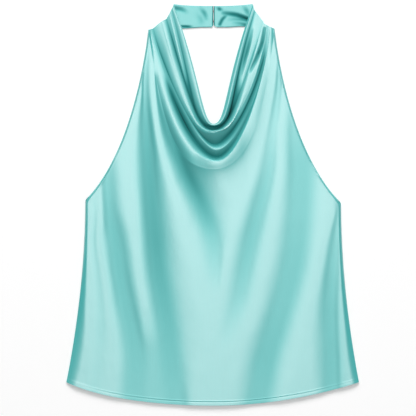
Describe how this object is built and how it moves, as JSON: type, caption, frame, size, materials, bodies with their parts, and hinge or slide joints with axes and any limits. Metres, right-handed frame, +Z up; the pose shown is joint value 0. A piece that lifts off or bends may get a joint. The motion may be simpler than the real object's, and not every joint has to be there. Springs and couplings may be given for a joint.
{
  "type": "halter neck top",
  "caption": "Sleeveless satin halter neck top with a draped cowl front and a neck band, laid flat.",
  "frame": {"origin": "middle of the laid-out garment's outline, on the surface it lies on", "axes": "+X to the viewer's right, +Y from the hem to the neck, +Z up from the surface towards the viewer"},
  "size_m": [0.4876, 0.669, 0.0127],
  "materials": {
    "satin_front": "glossy aqua satin",
    "satin_back": "glossy aqua satin",
    "satin_band": "glossy aqua satin, double cloth",
    "hook_steel": "small nickel-finish hook and eye"
  },
  "bodies": {
    "root": {"front": "satin_front", "back": "satin_back", "neck_band_left": "satin_band", "neck_band_right": "satin_band", "neck_hook_upper": "hook_steel", "neck_hook_lower": "hook_steel"}
  },
  "joints": []
}
